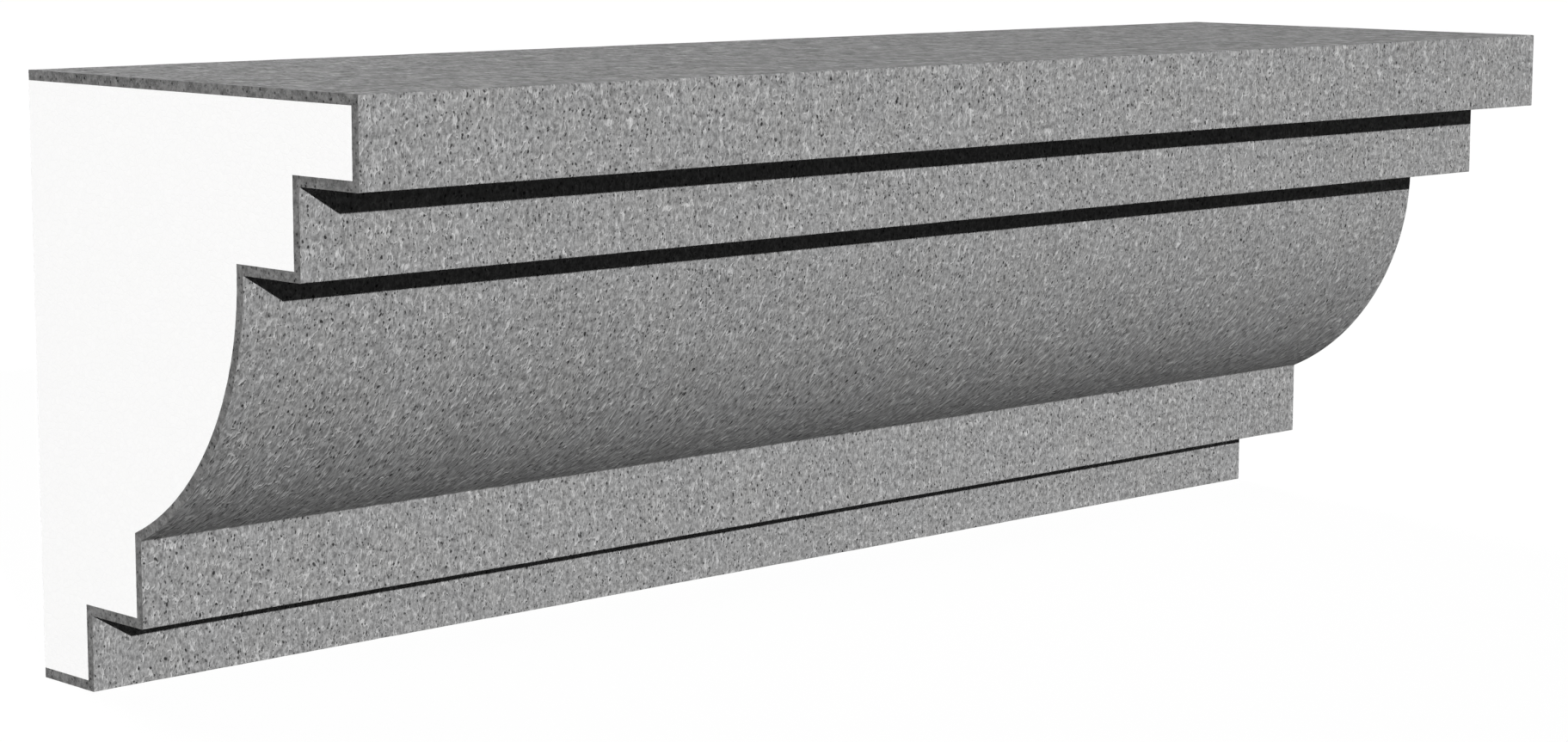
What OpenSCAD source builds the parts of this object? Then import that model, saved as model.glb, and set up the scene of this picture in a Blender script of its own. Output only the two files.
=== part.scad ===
// Exterior cornice moulding: a hot-wire-cut foam core wrapped in a reinforced cement coat.
// The coat covers the top, the stepped front and the undersides.
// The face that goes on the wall and both square-cut ends are left bare.
// Frame: +X runs along the length, +Y points into the wall, +Z is up.
// The origin is the middle of the bare face that goes on the wall.

/* [Moulding] */
// Length between the two cut ends
length = 1030; // [400:10:2400]
// How far each step of the profile stands out
step_out = 51; // [30:1:60]

/* [Profile heights, from the top down] */
// Height of each of the two flat bands at the top
band_height = 50; // [30:1:80]
// Height of the convex curve under the bands
ovolo_height = 156; // [120:1:220]
// Height of the flat fillet under the curve
fillet_height = 50; // [20:1:80]
// Height of the narrow foot at the wall
foot_height = 44; // [20:1:80]

/* [Coat] */
// Thickness of the base coat on the foam
base_thickness = 3.5; // [2:0.5:5]
// Thickness of the glass-fibre mesh laid on the base coat
mesh_thickness = 0.5; // [0.3:0.1:1]
// Thickness of the sandy finish coat
finish_thickness = 2; // [1:0.5:4]

/* [Hidden] */

// how far each level of the profile stands out from the wall
foot_out = step_out;
fillet_out = 2 * step_out;
ovolo_out = 4 * step_out;
second_band_out = 5 * step_out;
top_band_out = 6 * step_out;

// height of the underside of each level above the foot's underside
fillet_low = foot_height;
ovolo_low = fillet_low + fillet_height;
second_band_low = ovolo_low + ovolo_height;
top_band_low = second_band_low + band_height;
height = top_band_low + band_height;

// the curve leaves the second band's underside plumb and ends at the fillet's top edge
ovolo_drop = ovolo_out - fillet_out;
ovolo_radius = (pow(ovolo_height, 2) + pow(ovolo_drop, 2)) / (2 * ovolo_drop);
ovolo_facets = 240;

// depth of each layer's inner surface below the finished surface
mesh_depth = finish_thickness;
base_depth = mesh_depth + mesh_thickness;
foam_depth = base_depth + base_thickness;

// One level of the profile, from its underside up to the top surface at that depth.
module level(out, low, depth) {
    translate([0, low])
        square([out - depth, height - depth - low]);
}

// The convex curve between the second band and the fillet.
module ovolo(depth) {
    intersection() {
        translate([ovolo_out - ovolo_radius, second_band_low])
            circle(r = ovolo_radius - depth, $fn = ovolo_facets);
        translate([0, ovolo_low])
            square([ovolo_out, ovolo_height]);
    }
}

// The whole profile at a depth below the finished surface: x is out from the wall, y is up.
module profile(depth) {
    level(top_band_out, top_band_low + depth, depth);
    level(second_band_out, second_band_low + depth, depth);
    level(ovolo_out, second_band_low, depth);
    ovolo(depth);
    level(fillet_out, fillet_low + depth, depth);
    level(foot_out, depth, depth);
}

// Runs a flat profile along the length, with its wall edge on the XZ plane.
module run_along_length() {
    translate([0, 0, -height / 2])
        rotate([90, 0, -90])
            linear_extrude(height = length, center = true)
                children();
}

// A wrap of even thickness between two depths below the finished surface.
module wrap(outer_depth, inner_depth) {
    run_along_length()
        difference() {
            profile(outer_depth);
            profile(inner_depth);
        }
}

module foam_core() {
    color("white")
        run_along_length()
            profile(foam_depth);
}

module base_coat() {
    color("dimgray")
        wrap(base_depth, foam_depth);
}

module reinforcing_mesh() {
    color("lightsteelblue")
        wrap(mesh_depth, base_depth);
}

module finish_coat() {
    color("darkgray")
        wrap(0, mesh_depth);
}

foam_core();
base_coat();
reinforcing_mesh();
finish_coat();
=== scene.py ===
import math

import bpy
from mathutils import Matrix, Vector


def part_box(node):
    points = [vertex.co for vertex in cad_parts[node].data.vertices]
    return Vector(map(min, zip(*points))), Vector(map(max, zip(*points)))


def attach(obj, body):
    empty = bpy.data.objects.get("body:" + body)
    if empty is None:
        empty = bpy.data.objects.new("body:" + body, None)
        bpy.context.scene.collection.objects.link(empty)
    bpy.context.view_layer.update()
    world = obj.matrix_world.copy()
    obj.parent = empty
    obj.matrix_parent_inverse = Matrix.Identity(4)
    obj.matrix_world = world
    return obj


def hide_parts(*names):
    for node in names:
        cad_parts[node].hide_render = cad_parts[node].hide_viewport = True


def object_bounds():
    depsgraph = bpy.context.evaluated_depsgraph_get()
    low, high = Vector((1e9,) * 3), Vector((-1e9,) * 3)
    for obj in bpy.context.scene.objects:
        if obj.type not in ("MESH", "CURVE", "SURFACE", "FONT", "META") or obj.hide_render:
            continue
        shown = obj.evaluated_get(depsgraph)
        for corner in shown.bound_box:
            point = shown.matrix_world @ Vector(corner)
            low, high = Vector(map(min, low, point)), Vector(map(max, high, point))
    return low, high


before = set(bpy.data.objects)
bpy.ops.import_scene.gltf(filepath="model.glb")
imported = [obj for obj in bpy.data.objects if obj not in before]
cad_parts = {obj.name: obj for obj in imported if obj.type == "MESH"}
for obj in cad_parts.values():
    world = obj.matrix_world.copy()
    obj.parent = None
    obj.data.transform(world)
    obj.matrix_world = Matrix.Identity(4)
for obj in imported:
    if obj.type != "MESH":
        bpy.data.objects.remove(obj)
cad_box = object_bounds()
MM = 0.001

# ---- the moulding's sizes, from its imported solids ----

FINISH_LOW, FINISH_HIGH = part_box("finish_coat")
LENGTH = FINISH_HIGH.x - FINISH_LOW.x
HEIGHT = FINISH_HIGH.z - FINISH_LOW.z
PROJECTION = FINISH_HIGH.y - FINISH_LOW.y

# how far each inner layer's outside lies below the finished surface
MESH_DEPTH = FINISH_HIGH.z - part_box("reinforcing_mesh")[1].z
BASE_DEPTH = FINISH_HIGH.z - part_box("base_coat")[1].z
FOAM_DEPTH = FINISH_HIGH.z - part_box("foam_core")[1].z

# every level stands one step further out than the one below, and the curve spans two steps
STEP_OUT = PROJECTION / 6
FOOT_OUT = STEP_OUT
FILLET_OUT = 2 * STEP_OUT
OVOLO_OUT = 4 * STEP_OUT
SECOND_BAND_OUT = 5 * STEP_OUT
TOP_BAND_OUT = PROJECTION

# the bands and the fillet are one height; each LOW is a level's underside above the foot's own
BAND_HEIGHT = 50 * MM
FOOT_HEIGHT = 44 * MM
FILLET_LOW = FOOT_HEIGHT
OVOLO_LOW = FILLET_LOW + BAND_HEIGHT
TOP_BAND_LOW = HEIGHT - BAND_HEIGHT
SECOND_BAND_LOW = TOP_BAND_LOW - BAND_HEIGHT

# the curve leaves the second band's underside plumb and ends at the fillet's top edge
OVOLO_RISE = SECOND_BAND_LOW - OVOLO_LOW
OVOLO_SET_BACK = OVOLO_OUT - FILLET_OUT
OVOLO_RADIUS = (OVOLO_RISE**2 + OVOLO_SET_BACK**2) / (2 * OVOLO_SET_BACK)
OVOLO_CENTRE = (OVOLO_OUT - OVOLO_RADIUS, SECOND_BAND_LOW)

# the skin: the size of its cells, the radius of its eased arrises, and its uneven relief
CELL = 3.4 * MM
SKIN_STATIONS = 250
ARRIS = 0.9 * MM
RELIEF = 0.5 * MM
RELIEF_FINENESS = 28.0
RELIEF_SEED = 3.0

# how many straight parts draw the curve in the skin, in the layers under it and in the weave
SKIN_ARC_STEPS = 60
ARC_STEPS = 24
WEAVE_ARC_STEPS = 16

# corners that turn less than the first angle stay as they are; edges past the second stay crisp
LEAST_EASED_TURN = math.radians(12)
CREASE_ANGLE = math.radians(34)

# a face is a sawn one when it points this far along the length or into the wall
CUT_FACING = 0.7

# a mark on a level face is drawn out to 1 / DRAG of its length on an upright one
DRAG = 0.5

# the glass weave, which stops short of the wall face
PITCH = 5 * MM
BACK_MARGIN = 3 * MM

# how much shorter than the finish coat the hidden layers are, over both ends
BASE_SHORTER = 0.2 * MM
WEAVE_SHORTER = 0.1 * MM

# the Mix node's colour sockets share their names with its number sockets, so they go by place
MIX_FACTOR = 0
MIX_FIRST = 6
MIX_SECOND = 7
MIX_COLOUR_RESULT = 2


# ---- node trees written as expressions ----


class Value:
    """A node's output that takes part in Python expressions: each operator adds a Math node."""

    def __init__(self, graph, socket):
        self.graph = graph
        self.socket = socket

    def __add__(self, other):
        return self.graph.math("ADD", self, other)

    def __sub__(self, other):
        return self.graph.math("SUBTRACT", self, other)

    def __rsub__(self, other):
        return self.graph.math("SUBTRACT", other, self)

    def __mul__(self, other):
        return self.graph.math("MULTIPLY", self, other)

    def __abs__(self):
        return self.graph.math("ABSOLUTE", self)

    def __gt__(self, other):
        return self.graph.math("GREATER_THAN", self, other)

    __radd__ = __add__


class Graph:
    """A node tree, for a material or for geometry, that grows as expressions are written."""

    def __init__(self, tree):
        self.tree = tree

    def node(self, kind, settings=None, inputs=None):
        """Adds one node: its settings are set first, then the values or links of its sockets."""
        made = self.tree.nodes.new(kind)
        for name, setting in (settings or {}).items():
            setattr(made, name, setting)
        for name, given in (inputs or {}).items():
            self.feed(made.inputs[name], given)
        return made

    def feed(self, socket, given):
        if isinstance(given, Value):
            self.tree.links.new(given.socket, socket)
        else:
            socket.default_value = given

    def get(self, kind, settings=None, inputs=None, output=0):
        """The chosen output of one new node."""
        return Value(self, self.node(kind, settings, inputs).outputs[output])

    def math(self, operation, *values):
        return self.get("ShaderNodeMath", {"operation": operation}, dict(enumerate(values)))

    def vector_math(self, operation, *values):
        return self.get("ShaderNodeVectorMath", {"operation": operation}, dict(enumerate(values)))

    def vector(self, **parts):
        """A vector from its named X, Y and Z; the parts left out are 0."""
        return self.get("ShaderNodeCombineXYZ", None, parts)

    def part(self, vector, axis):
        """The X, Y or Z of a vector."""
        return self.get("ShaderNodeSeparateXYZ", None, {"Vector": vector}, axis)

    def ramp_between(self, value, low, high):
        """0 below low, 1 above high and smooth between them."""
        inputs = {"Value": value, "From Min": low, "From Max": high}
        return self.get("ShaderNodeMapRange", {"interpolation_type": "SMOOTHSTEP"}, inputs)

    def noise(self, vector, scale, detail=2.0, roughness=0.5):
        inputs = {"Vector": vector, "Scale": scale, "Detail": detail, "Roughness": roughness}
        return self.get("ShaderNodeTexNoise", None, inputs)

    def cells(self, vector, scale):
        """Distance from each cell's middle, and a random number for the cell."""
        made = self.node("ShaderNodeTexVoronoi", None, {"Vector": vector, "Scale": scale})
        colour = Value(self, made.outputs["Color"])
        chance = self.get("ShaderNodeSeparateColor", None, {"Color": colour}, "Red")
        return Value(self, made.outputs["Distance"]), chance

    def mix_colour(self, factor, first, second, blend="MIX"):
        settings = {"data_type": "RGBA", "blend_type": blend}
        inputs = {MIX_FACTOR: factor, MIX_FIRST: first, MIX_SECOND: second}
        return self.get("ShaderNodeMix", settings, inputs, MIX_COLOUR_RESULT)

    def bump(self, strength, distance, height):
        inputs = {"Strength": strength, "Distance": distance, "Height": height}
        return self.get("ShaderNodeBump", None, inputs)


# ---- materials ----


def new_material(name):
    material = bpy.data.materials.new(name)
    material.use_nodes = True
    return material, Graph(material.node_tree), material.node_tree.nodes["Principled BSDF"].inputs


def object_place(graph):
    """Object coordinates, in metres."""
    return graph.get("ShaderNodeTexCoord", output="Object")


def grey(level, warmth=0.0):
    """A near-neutral colour; warmth leans it towards yellow."""
    return (level * (1 + warmth), level, level * (1 - 1.6 * warmth), 1.0)


def stretched(graph, vector, across, along):
    """Pattern coordinates: a cell is `across` wide along the moulding and `along` tall down its profile."""
    return graph.vector_math("MULTIPLY", vector, (1 / across, 1 / along, 1.0))


def spots(graph, vector, across, along, largest, missing):
    """Round spots, one to a cell and each its own size; the smallest are left out."""
    distance, chance = graph.cells(stretched(graph, vector, across, along), 1.0)
    size = chance * (largest + missing) - missing
    return 1 - graph.ramp_between(distance - size, -0.02, 0.1)


def shaded(graph, colour, level):
    """A colour made lighter or darker by a level that varies over the surface."""
    parts = {"Red": level, "Green": level, "Blue": level}
    level_colour = graph.get("ShaderNodeCombineColor", None, parts)
    return graph.mix_colour(1.0, colour, level_colour, "MULTIPLY")


def finish_mortar():
    """Sandy grey finish coat: dark pits, pale grains, and fine wavering marks that run down the profile."""
    material, graph, shader = new_material("trowelled_finish")
    surface = graph.get("ShaderNodeAttribute", {"attribute_name": "surface_place"}, output="Vector")
    place = object_place(graph)
    slow_field = {"Vector": surface, "Scale": 120.0, "Detail": 1.0}
    wander = graph.get("ShaderNodeTexNoise", None, slow_field, "Color")
    bent = graph.vector_math("MULTIPLY_ADD", wander, (4 * MM, 4 * MM, 0.0), surface)

    # open pits, narrow ones and a few wide ones, each its own size
    pits = spots(graph, bent, 1.9 * MM, 2.9 * MM, 0.25, 0.14)
    holes = spots(graph, bent, 3.6 * MM, 4.6 * MM, 0.17, 0.18)

    # low ridges, and thin wavering lines that come and go in patches
    ridge_field = graph.noise(stretched(graph, bent, 1.9 * MM, 3.2 * MM), 1.0, 1.0)
    ridges = graph.ramp_between(ridge_field, 0.36, 0.64)
    line_field = graph.noise(stretched(graph, bent, 3.2 * MM, 7 * MM), 1.0, 1.0)
    lines = 1 - graph.ramp_between(abs(line_field - 0.5), 0.015, 0.07)
    patch_field = graph.noise(stretched(graph, surface, 5 * MM, 8 * MM), 1.0, 1.0)
    patches = graph.ramp_between(patch_field, 0.42, 0.6)
    streaks = lines * patches

    # pale grains, the fine tooth of the sand, its mottling, the cement's clouding and the tool's long runs
    grains = spots(graph, bent, 5.5 * MM, 6.5 * MM, 0.12, 0.05)
    tooth = graph.noise(surface, 900.0, 1.0) - 0.5
    mottle = graph.noise(surface, 260.0) - 0.5
    clouds = graph.noise(surface, 22.0, 4.0, 0.55) - 0.5
    runs = graph.noise(stretched(graph, surface, 3.5 * MM, 45 * MM), 1.0, 1.0) - 0.5
    tone = 0.76 + ridges * 0.34 + streaks * 0.6 + clouds * 0.2 + runs * 0.4 + mottle * 1.2 + tooth * 0.7
    level = tone * (1 - pits * 0.75) * (1 - holes * 0.85) + grains * 0.5

    # dust that settles unevenly on whatever faces up, and painted shade: these patches also darken the top
    # faces so they look less lit
    facing = graph.get("ShaderNodeNewGeometry", output="Normal")
    up_facing_mask = graph.ramp_between(graph.part(facing, "Z"), 0.6, 0.95)
    dust_and_painted_shade = graph.ramp_between(graph.noise(place, 70.0, 5.0, 0.65), 0.34, 0.66)
    level = level * (1 - up_facing_mask * dust_and_painted_shade * 0.42)

    tint = graph.ramp_between(graph.noise(surface, 31.0), 0.35, 0.7)
    body = graph.mix_colour(tint, grey(0.27, -0.002), grey(0.27, 0.003))
    graph.feed(shader["Base Color"], shaded(graph, body, level))
    graph.feed(shader["Roughness"], 0.86 + pits * 0.1 - grains * 0.25)
    shader["Specular IOR Level"].default_value = 0.25
    raised = ridges * 0.5 + streaks * 0.9 + grains * 0.6 + tooth * 0.05 + mottle * 0.6
    graph.feed(shader["Normal"], graph.bump(1.0, 0.4 * MM, raised - pits * 1.1 - holes * 1.3))
    return material


def sawn_mortar():
    """Mortar seen where a saw has cut across it: darker, with small open pores and sand in section."""
    material, graph, shader = new_material("sawn_mortar")
    place = object_place(graph)
    pores = 1 - graph.ramp_between(graph.cells(place, 300.0)[0], 0.12, 0.3)
    sand = graph.noise(place, 700.0, 3.0, 0.7)
    patches = graph.ramp_between(graph.noise(place, 230.0), 0.35, 0.68)
    tone = 0.72 + patches * 0.5 + (sand - 0.5) * 1.6 - pores * 0.6
    graph.feed(shader["Base Color"], shaded(graph, grey(0.15, 0.005), tone))
    graph.feed(shader["Roughness"], 0.85 + pores * 0.1)
    shader["Specular IOR Level"].default_value = 0.25
    graph.feed(shader["Normal"], graph.bump(0.6, 0.3 * MM, sand * 0.4 - pores))
    return material


def cut_foam():
    """Expanded polystyrene cut by a hot wire: near-white pressed beads, faintly outlined, and wire marks."""
    material, graph, shader = new_material("cut_foam")
    place = object_place(graph)
    bead_size = 260.0
    to_edge = graph.get(
        "ShaderNodeTexVoronoi", {"feature": "DISTANCE_TO_EDGE"}, {"Vector": place, "Scale": bead_size}
    )
    bead = graph.cells(place, bead_size)[1]
    outline = 1 - graph.ramp_between(to_edge, 0.01, 0.09)

    # the wire lies along the length as it cuts the back, and level as it cuts the ends
    wire_marks = graph.noise(graph.vector_math("MULTIPLY", place, (0.03, 0.08, 1.0)), 420.0, 3.0, 0.6)
    level = 0.985 + bead * 0.01 - outline * 0.02 + wire_marks * 0.015
    graph.feed(shader["Base Color"], shaded(graph, grey(0.93, 0.002), level))
    graph.feed(shader["Roughness"], 0.62 + outline * 0.2)
    shader["Specular IOR Level"].default_value = 0.2
    height = bead * 0.25 - outline * 0.5 + wire_marks * 0.6
    graph.feed(shader["Normal"], graph.bump(0.25, 0.25 * MM, height))
    return material


def glass_strand():
    """Coated glass-fibre strand: a bluish grey, dulled by the mortar it lies in, with a very fine grain."""
    material, graph, shader = new_material("glass_strand")
    grain = graph.noise(object_place(graph), 4000.0, 2.0, 0.6)
    colour = graph.mix_colour(grain, (0.16, 0.17, 0.18, 1.0), (0.3, 0.32, 0.34, 1.0))
    graph.feed(shader["Base Color"], colour)
    graph.feed(shader["Roughness"], 0.35 + grain * 0.2)
    graph.feed(shader["Normal"], graph.bump(0.5, 0.05 * MM, grain))
    return material


# ---- the profile at any depth below the finished surface ----


def profile_path(depth, arc_steps=ARC_STEPS):
    """Corners of the profile at a depth, from the foot's underside at the wall up to the top at the wall."""
    radius = OVOLO_RADIUS - depth
    end_angle = math.acos((FILLET_OUT - depth - OVOLO_CENTRE[0]) / radius)
    points = [
        (0.0, depth),
        (FOOT_OUT - depth, depth),
        (FOOT_OUT - depth, FILLET_LOW + depth),
        (FILLET_OUT - depth, FILLET_LOW + depth),
    ]
    for i in range(arc_steps + 1):
        angle = end_angle * (1 - i / arc_steps)
        out = OVOLO_CENTRE[0] + radius * math.cos(angle)
        points.append((out, OVOLO_CENTRE[1] - radius * math.sin(angle)))
    if depth > 0:
        points.append((OVOLO_OUT - depth, SECOND_BAND_LOW + depth))
    points += [
        (SECOND_BAND_OUT - depth, SECOND_BAND_LOW + depth),
        (SECOND_BAND_OUT - depth, TOP_BAND_LOW + depth),
        (TOP_BAND_OUT - depth, TOP_BAND_LOW + depth),
        (TOP_BAND_OUT - depth, HEIGHT - depth),
        (0.0, HEIGHT - depth),
    ]
    return [Vector(p) for p in points]


def eased(points, radius, steps=3):
    """The same path with its sharp corners eased to a small radius."""
    made = [points[0]]
    for before, corner, after in zip(points, points[1:], points[2:]):
        into = (corner - before).normalized()
        out_of = (after - corner).normalized()
        turn = into.angle(out_of)
        if turn < LEAST_EASED_TURN:
            made.append(corner)
            continue
        reach = radius * math.tan(turn / 2)
        start = corner - into * reach
        end = corner + out_of * reach
        for i in range(steps + 1):
            t = i / steps
            made.append(start.lerp(corner, t).lerp(corner.lerp(end, t), t))
    return made + [points[-1]]


def divided(points, cell):
    """The same path with its long runs cut into pieces no longer than a cell."""
    made = [points[0]]
    for start, end in zip(points, points[1:]):
        parts = max(1, math.ceil((end - start).length / cell))
        made.extend(start.lerp(end, i / parts) for i in range(1, parts + 1))
    return made


def outline_object(name, outer, inner):
    """A layer's closed section, up its outer path and back down its inner one, with marks for the tree."""
    points = outer + inner[::-1]
    around = [0.0]
    for before, after in zip(points, points[1:]):
        # the trowel's marks draw out where a face lies flatter
        length = (after - before).length
        upright = abs(after.y - before.y) / length
        around.append(around[-1] + length * max(upright**2, DRAG))
    # a swept section's first axis points away from the wall and its second points down
    places = [(p.x, HEIGHT / 2 - p.y, 0.0) for p in points]
    count = len(points)
    mesh = bpy.data.meshes.new(name)
    mesh.from_pydata(places, [(i, (i + 1) % count) for i in range(count)], [])
    relief = [1.0] * len(outer) + [0.0] * len(inner)
    for label, numbers in (("relief", relief), ("around", around)):
        mesh.attributes.new(label, "FLOAT", "POINT").data.foreach_set("value", numbers)
    return placed(name, mesh)


def placed(name, mesh):
    """An object at the origin that holds the mesh."""
    made = bpy.data.objects.new(name, mesh)
    bpy.context.scene.collection.objects.link(made)
    return made


# ---- geometry node trees ----

INPUT_KINDS = {
    float: "NodeSocketFloat",
    int: "NodeSocketInt",
    bpy.types.Material: "NodeSocketMaterial",
}


def geometry_tree(name, inputs):
    """A geometry tree with one geometry socket each way and a named input for each value."""
    tree = bpy.data.node_groups.new(name, "GeometryNodeTree")
    tree.interface.new_socket("Geometry", in_out="INPUT", socket_type="NodeSocketGeometry")
    tree.interface.new_socket("Geometry", in_out="OUTPUT", socket_type="NodeSocketGeometry")
    for label, value in inputs.items():
        tree.interface.new_socket(label, in_out="INPUT", socket_type=INPUT_KINDS[type(value)])
    graph = Graph(tree)
    entry = tree.nodes.new("NodeGroupInput")
    given = {socket.name: Value(graph, socket) for socket in entry.outputs if socket.name}
    return graph, given


def finish_tree(graph, geometry):
    graph.node("NodeGroupOutput", None, {"Geometry": geometry})


def grown(name, start, tree, inputs):
    """Runs a geometry tree on an object and returns the result as a plain mesh object of its own."""
    modifier = start.modifiers.new("grow", "NODES")
    modifier.node_group = tree
    sockets = {s.name: s.identifier for s in tree.interface.items_tree if s.in_out == "INPUT"}
    for label, value in inputs.items():
        modifier[sockets[label]] = value
    start.update_tag()
    bpy.context.view_layer.update()
    evaluated = start.evaluated_get(bpy.context.evaluated_depsgraph_get())
    mesh = bpy.data.meshes.new_from_object(evaluated)
    start.modifiers.remove(modifier)
    bpy.data.objects.remove(start)
    mesh.name = name
    # where the tree leaves an empty slot, the piece's first material takes every face
    if None in mesh.materials[:]:
        only = next(m for m in mesh.materials if m)
        mesh.materials.clear()
        mesh.materials.append(only)
        mesh.polygons.foreach_set("material_index", [0] * len(mesh.polygons))
    return placed(name, mesh)


def named_number(graph, name):
    return graph.get("GeometryNodeInputNamedAttribute", {"data_type": "FLOAT"}, {"Name": name})


def length_rail(graph, given):
    """The two ends of the length, and the straight line between them."""
    half = given["Length"] * 0.5
    left = graph.vector(X=half * -1)
    right = graph.vector(X=half)
    return left, right, graph.get("GeometryNodeCurvePrimitiveLine", None, {"Start": left, "End": right})


def sweep_tree(inputs):
    """Sweeps a closed section along the length, caps it, and gives its outer face an uneven relief."""
    graph, given = geometry_tree("swept_layer", inputs)
    section = graph.get("GeometryNodeMeshToCurve", None, {"Mesh": given["Geometry"]})
    rail = length_rail(graph, given)[2]
    rail = graph.get("GeometryNodeResampleCurve", None, {"Curve": rail, "Count": given["Stations"]})
    rail = graph.get("GeometryNodeSetCurveNormal", {"mode": "Z_UP"}, {"Curve": rail})
    sweep = {"Curve": rail, "Profile Curve": section, "Fill Caps": True}
    layer = graph.get("GeometryNodeCurveToMesh", None, sweep)
    layer = graph.get("GeometryNodeFlipFaces", None, {"Mesh": layer})

    # the finish's marks follow the surface: along the length, and around the section
    along = graph.part(graph.get("GeometryNodeInputPosition"), "X")
    mark = {
        "Geometry": layer,
        "Name": "surface_place",
        "Value": graph.vector(X=along, Y=named_number(graph, "around")),
    }
    kept_as = {"data_type": "FLOAT_VECTOR", "domain": "POINT"}
    layer = graph.get("GeometryNodeStoreNamedAttribute", kept_as, mark)

    # relief goes inwards only, so the coat never leaves its own size
    field = {"W": given["Seed"], "Scale": given["Relief Fineness"], "Detail": 3.0}
    waves = graph.get("ShaderNodeTexNoise", {"noise_dimensions": "4D"}, field)
    inward = waves * named_number(graph, "relief") * given["Relief Depth"] * -1
    facing = graph.vector_math("MULTIPLY", graph.get("GeometryNodeInputNormal"), (0.0, 1.0, 1.0))
    push = graph.get("ShaderNodeVectorMath", {"operation": "SCALE"}, {"Vector": facing, "Scale": inward})
    layer = graph.get("GeometryNodeSetPosition", None, {"Geometry": layer, "Offset": push})

    # arrises and cut ends stay crisp, everything else shades smoothly
    whole = {"Geometry": layer, "Shade Smooth": True}
    layer = graph.get("GeometryNodeSetShadeSmooth", {"domain": "FACE"}, whole)
    sharp = graph.get("GeometryNodeInputMeshEdgeAngle") > CREASE_ANGLE
    crisp = {"Geometry": layer, "Selection": sharp, "Shade Smooth": False}
    layer = graph.get("GeometryNodeSetShadeSmooth", {"domain": "EDGE"}, crisp)

    # the sawn ends and the bare edges at the wall
    facing = graph.get("GeometryNodeInputNormal")
    lengthwise = abs(graph.part(facing, "X"))
    cut = graph.math("MAXIMUM", lengthwise, graph.part(facing, "Y")) > CUT_FACING
    layer = graph.get("GeometryNodeRealizeInstances", None, {"Geometry": layer})
    coated = {"Geometry": layer, "Material": given["Face Material"]}
    layer = graph.get("GeometryNodeSetMaterial", None, coated)
    sawn = {"Geometry": layer, "Selection": cut, "Material": given["Cut Material"]}
    finish_tree(graph, graph.get("GeometryNodeSetMaterial", None, sawn))
    return graph.tree


def swept(name, outer, inner, inputs):
    """One layer of the moulding, from the two sides of its section."""
    tree = bpy.data.node_groups.get("swept_layer") or sweep_tree(inputs)
    return grown(name, outline_object(name + "_section", outer, inner), tree, inputs)


def layer_inputs(length, face_material, cut_material, stations=2, relief_depth=0.0):
    """The sweep's inputs; a layer with no relief needs stations at its two ends only."""
    return {
        "Length": length,
        "Stations": stations,
        "Relief Depth": relief_depth,
        "Relief Fineness": RELIEF_FINENESS,
        "Seed": RELIEF_SEED,
        "Face Material": face_material,
        "Cut Material": cut_material,
    }


def woven_tree(inputs):
    """An open weave: one set of strands follows the profile and the other runs the whole length."""
    graph, given = geometry_tree("woven_mesh", inputs)
    path = graph.get("GeometryNodeMeshToCurve", None, {"Mesh": given["Geometry"]})
    left, right, rail = length_rail(graph, given)
    round_section = {"Resolution": 6, "Radius": given["Strand Width"] * 0.5}
    bundle = graph.get("GeometryNodeCurvePrimitiveCircle", None, round_section)
    upright = graph.get("GeometryNodeSetCurveNormal", {"mode": "Z_UP"}, {"Curve": path})
    strands = []
    for line in (upright, rail):
        sweep = {"Curve": line, "Profile Curve": bundle, "Fill Caps": True}
        strands.append(graph.get("GeometryNodeCurveToMesh", None, sweep))

    # the strands down the profile stand along the length, and the long strands along the profile
    inset = graph.vector(X=given["Pitch"] * 0.5)
    first = graph.vector_math("ADD", left, inset)
    last = graph.vector_math("SUBTRACT", right, inset)
    stations = graph.get("GeometryNodeCurvePrimitiveLine", None, {"Start": first, "End": last})
    weave = graph.node("GeometryNodeJoinGeometry")
    for line, strand in zip((stations, path), strands):
        spaced = {"Curve": line, "Length": given["Pitch"]}
        points = graph.get("GeometryNodeResampleCurve", {"mode": "LENGTH"}, spaced)
        copies = graph.get("GeometryNodeInstanceOnPoints", None, {"Points": points, "Instance": strand})
        graph.feed(weave.inputs["Geometry"], copies)
    joined = Value(graph, weave.outputs["Geometry"])
    solid = graph.get("GeometryNodeRealizeInstances", None, {"Geometry": joined})
    finished = {"Geometry": solid, "Material": given["Material"]}
    finish_tree(graph, graph.get("GeometryNodeSetMaterial", None, finished))
    return graph.tree


# ---- pieces ----


def make_finish_coat(face_material, cut_material):
    outer = divided(eased(profile_path(0.0, SKIN_ARC_STEPS), ARRIS), CELL)
    inputs = layer_inputs(LENGTH, face_material, cut_material, SKIN_STATIONS, RELIEF)
    return swept("finish_coat_skin", outer, profile_path(MESH_DEPTH), inputs)


def make_base_coat(cut_material):
    """The mortar that holds the weave; its ends are a hair shorter than the finish's."""
    inputs = layer_inputs(LENGTH - BASE_SHORTER, cut_material, cut_material)
    return swept("base_coat_bed", profile_path(MESH_DEPTH), profile_path(FOAM_DEPTH), inputs)


def make_foam_core(material):
    return swept("foam_block", profile_path(FOAM_DEPTH), [], layer_inputs(LENGTH, material, material))


def make_reinforcing_mesh(material):
    """The weave lies just under the finish coat, with its strands' cut ends at the sawn faces."""
    path = profile_path((BASE_DEPTH + MESH_DEPTH) / 2, WEAVE_ARC_STEPS)
    path[0].x = BACK_MARGIN
    path[-1].x = BACK_MARGIN
    mesh = bpy.data.meshes.new("weave_path")
    places = [(0.0, -p.x, p.y - HEIGHT / 2) for p in path]
    mesh.from_pydata(places, [(i, i + 1) for i in range(len(places) - 1)], [])
    inputs = {
        "Length": LENGTH - WEAVE_SHORTER,
        "Pitch": PITCH,
        "Strand Width": BASE_DEPTH - MESH_DEPTH,
        "Material": material,
    }
    return grown("glass_weave", placed("weave_path", mesh), woven_tree(inputs), inputs)


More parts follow.
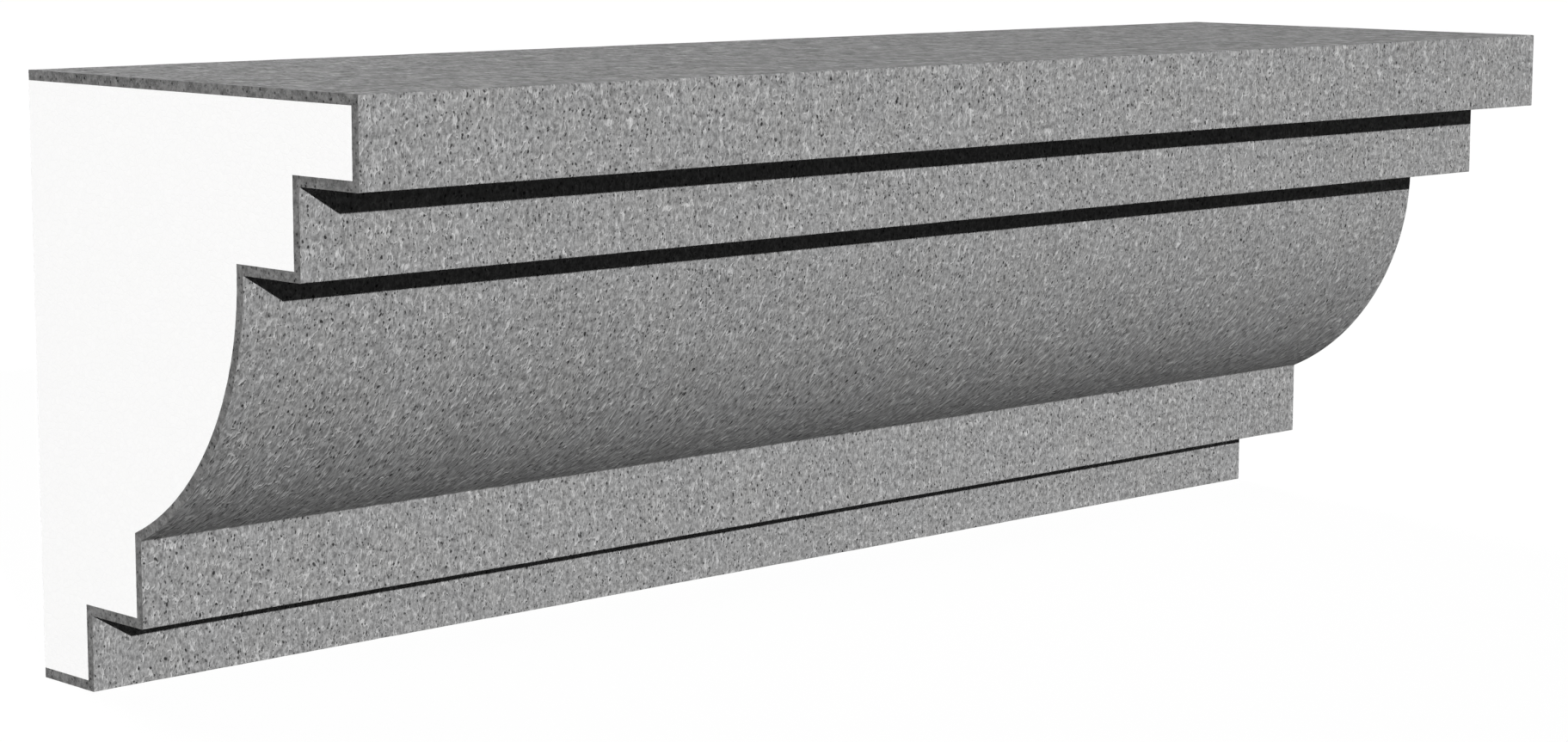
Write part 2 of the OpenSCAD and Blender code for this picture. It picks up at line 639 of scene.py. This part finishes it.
foam_material = cut_foam()
sawn_material = sawn_mortar()
foam_block = make_foam_core(foam_material)
base_coat_bed = make_base_coat(sawn_material)
glass_weave = make_reinforcing_mesh(glass_strand())
finish_coat_skin = make_finish_coat(finish_mortar(), sawn_material)

for piece, node, slot_name in (
    (foam_block, "foam_core", "foam"),
    (base_coat_bed, "base_coat", "base_mortar"),
    (glass_weave, "reinforcing_mesh", "glass_mesh"),
    (finish_coat_skin, "finish_coat", "finish_mortar"),
):
    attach(piece, "root")
    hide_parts(node)


# ---- studio ----


def sun(name, towards, strength, softness):
    """A distant light that comes from the direction given."""
    light = bpy.data.lights.new(name, "SUN")
    light.energy = strength
    light.angle = math.radians(softness)
    lamp = placed(name, light)
    lamp.rotation_euler = Vector(towards).to_track_quat("Z", "Y").to_euler()


def studio_floor():
    """A plain pale floor whose own brightness doesn't light the underside of the steps."""
    reach = 60.0
    z = cad_box[0].z
    corners = [(-reach, -reach, z), (reach, -reach, z), (reach, reach, z), (-reach, reach, z)]
    mesh = bpy.data.meshes.new("studio_floor")
    mesh.from_pydata(corners, [], [(0, 1, 2, 3)])
    material, _, shader = new_material("pale_floor")
    shader["Base Color"].default_value = grey(0.06)
    shader["Roughness"].default_value = 1.0
    shader["Specular IOR Level"].default_value = 0.0
    shader["Emission Color"].default_value = grey(1.0)
    shader["Emission Strength"].default_value = 0.96
    mesh.materials.append(material)
    floor = placed("studio_floor", mesh)
    floor.visible_diffuse = False
    floor.visible_glossy = False


def studio_air(ambient):
    """Pale surroundings to the camera, and a weak even light on the moulding."""
    world = bpy.data.worlds.new("studio_air")
    bpy.context.scene.world = world
    world.use_nodes = True
    graph = Graph(world.node_tree)
    seen = graph.get("ShaderNodeLightPath", output="Is Camera Ray")
    colour = graph.mix_colour(seen, grey(ambient), grey(0.98))
    graph.feed(world.node_tree.nodes["Background"].inputs["Color"], colour)


def aim_camera():
    """A long lens that looks across the front from beyond the left end, a little above the top."""
    lens = bpy.data.cameras.new("camera")
    lens.lens = 79.15
    place = Vector((-1.559, -1.694, 0.280))
    look = Vector((0.68768, 0.71233, -0.14029))
    roll = Matrix.Rotation(math.radians(-0.13), 4, look)
    turn = look.to_track_quat("-Z", "Y").to_matrix().to_4x4()
    camera = placed("camera", lens)
    camera.matrix_world = Matrix.Translation(place) @ roll @ turn
    bpy.context.scene.camera = camera


studio_floor()
studio_air(0.05)
sun("key_light", (-0.435, -0.860, 0.268), 4.1, 0.8)
sun("left_light", (-0.985, 0.1, 0.12), 1.5, 20)
sun("right_light", (0.985, 0.1, 0.12), 2.1, 20)
sun("rear_light", (0.2, 0.88, 0.42), 2.35, 20)
aim_camera()
bpy.context.scene.view_settings.view_transform = "Standard"
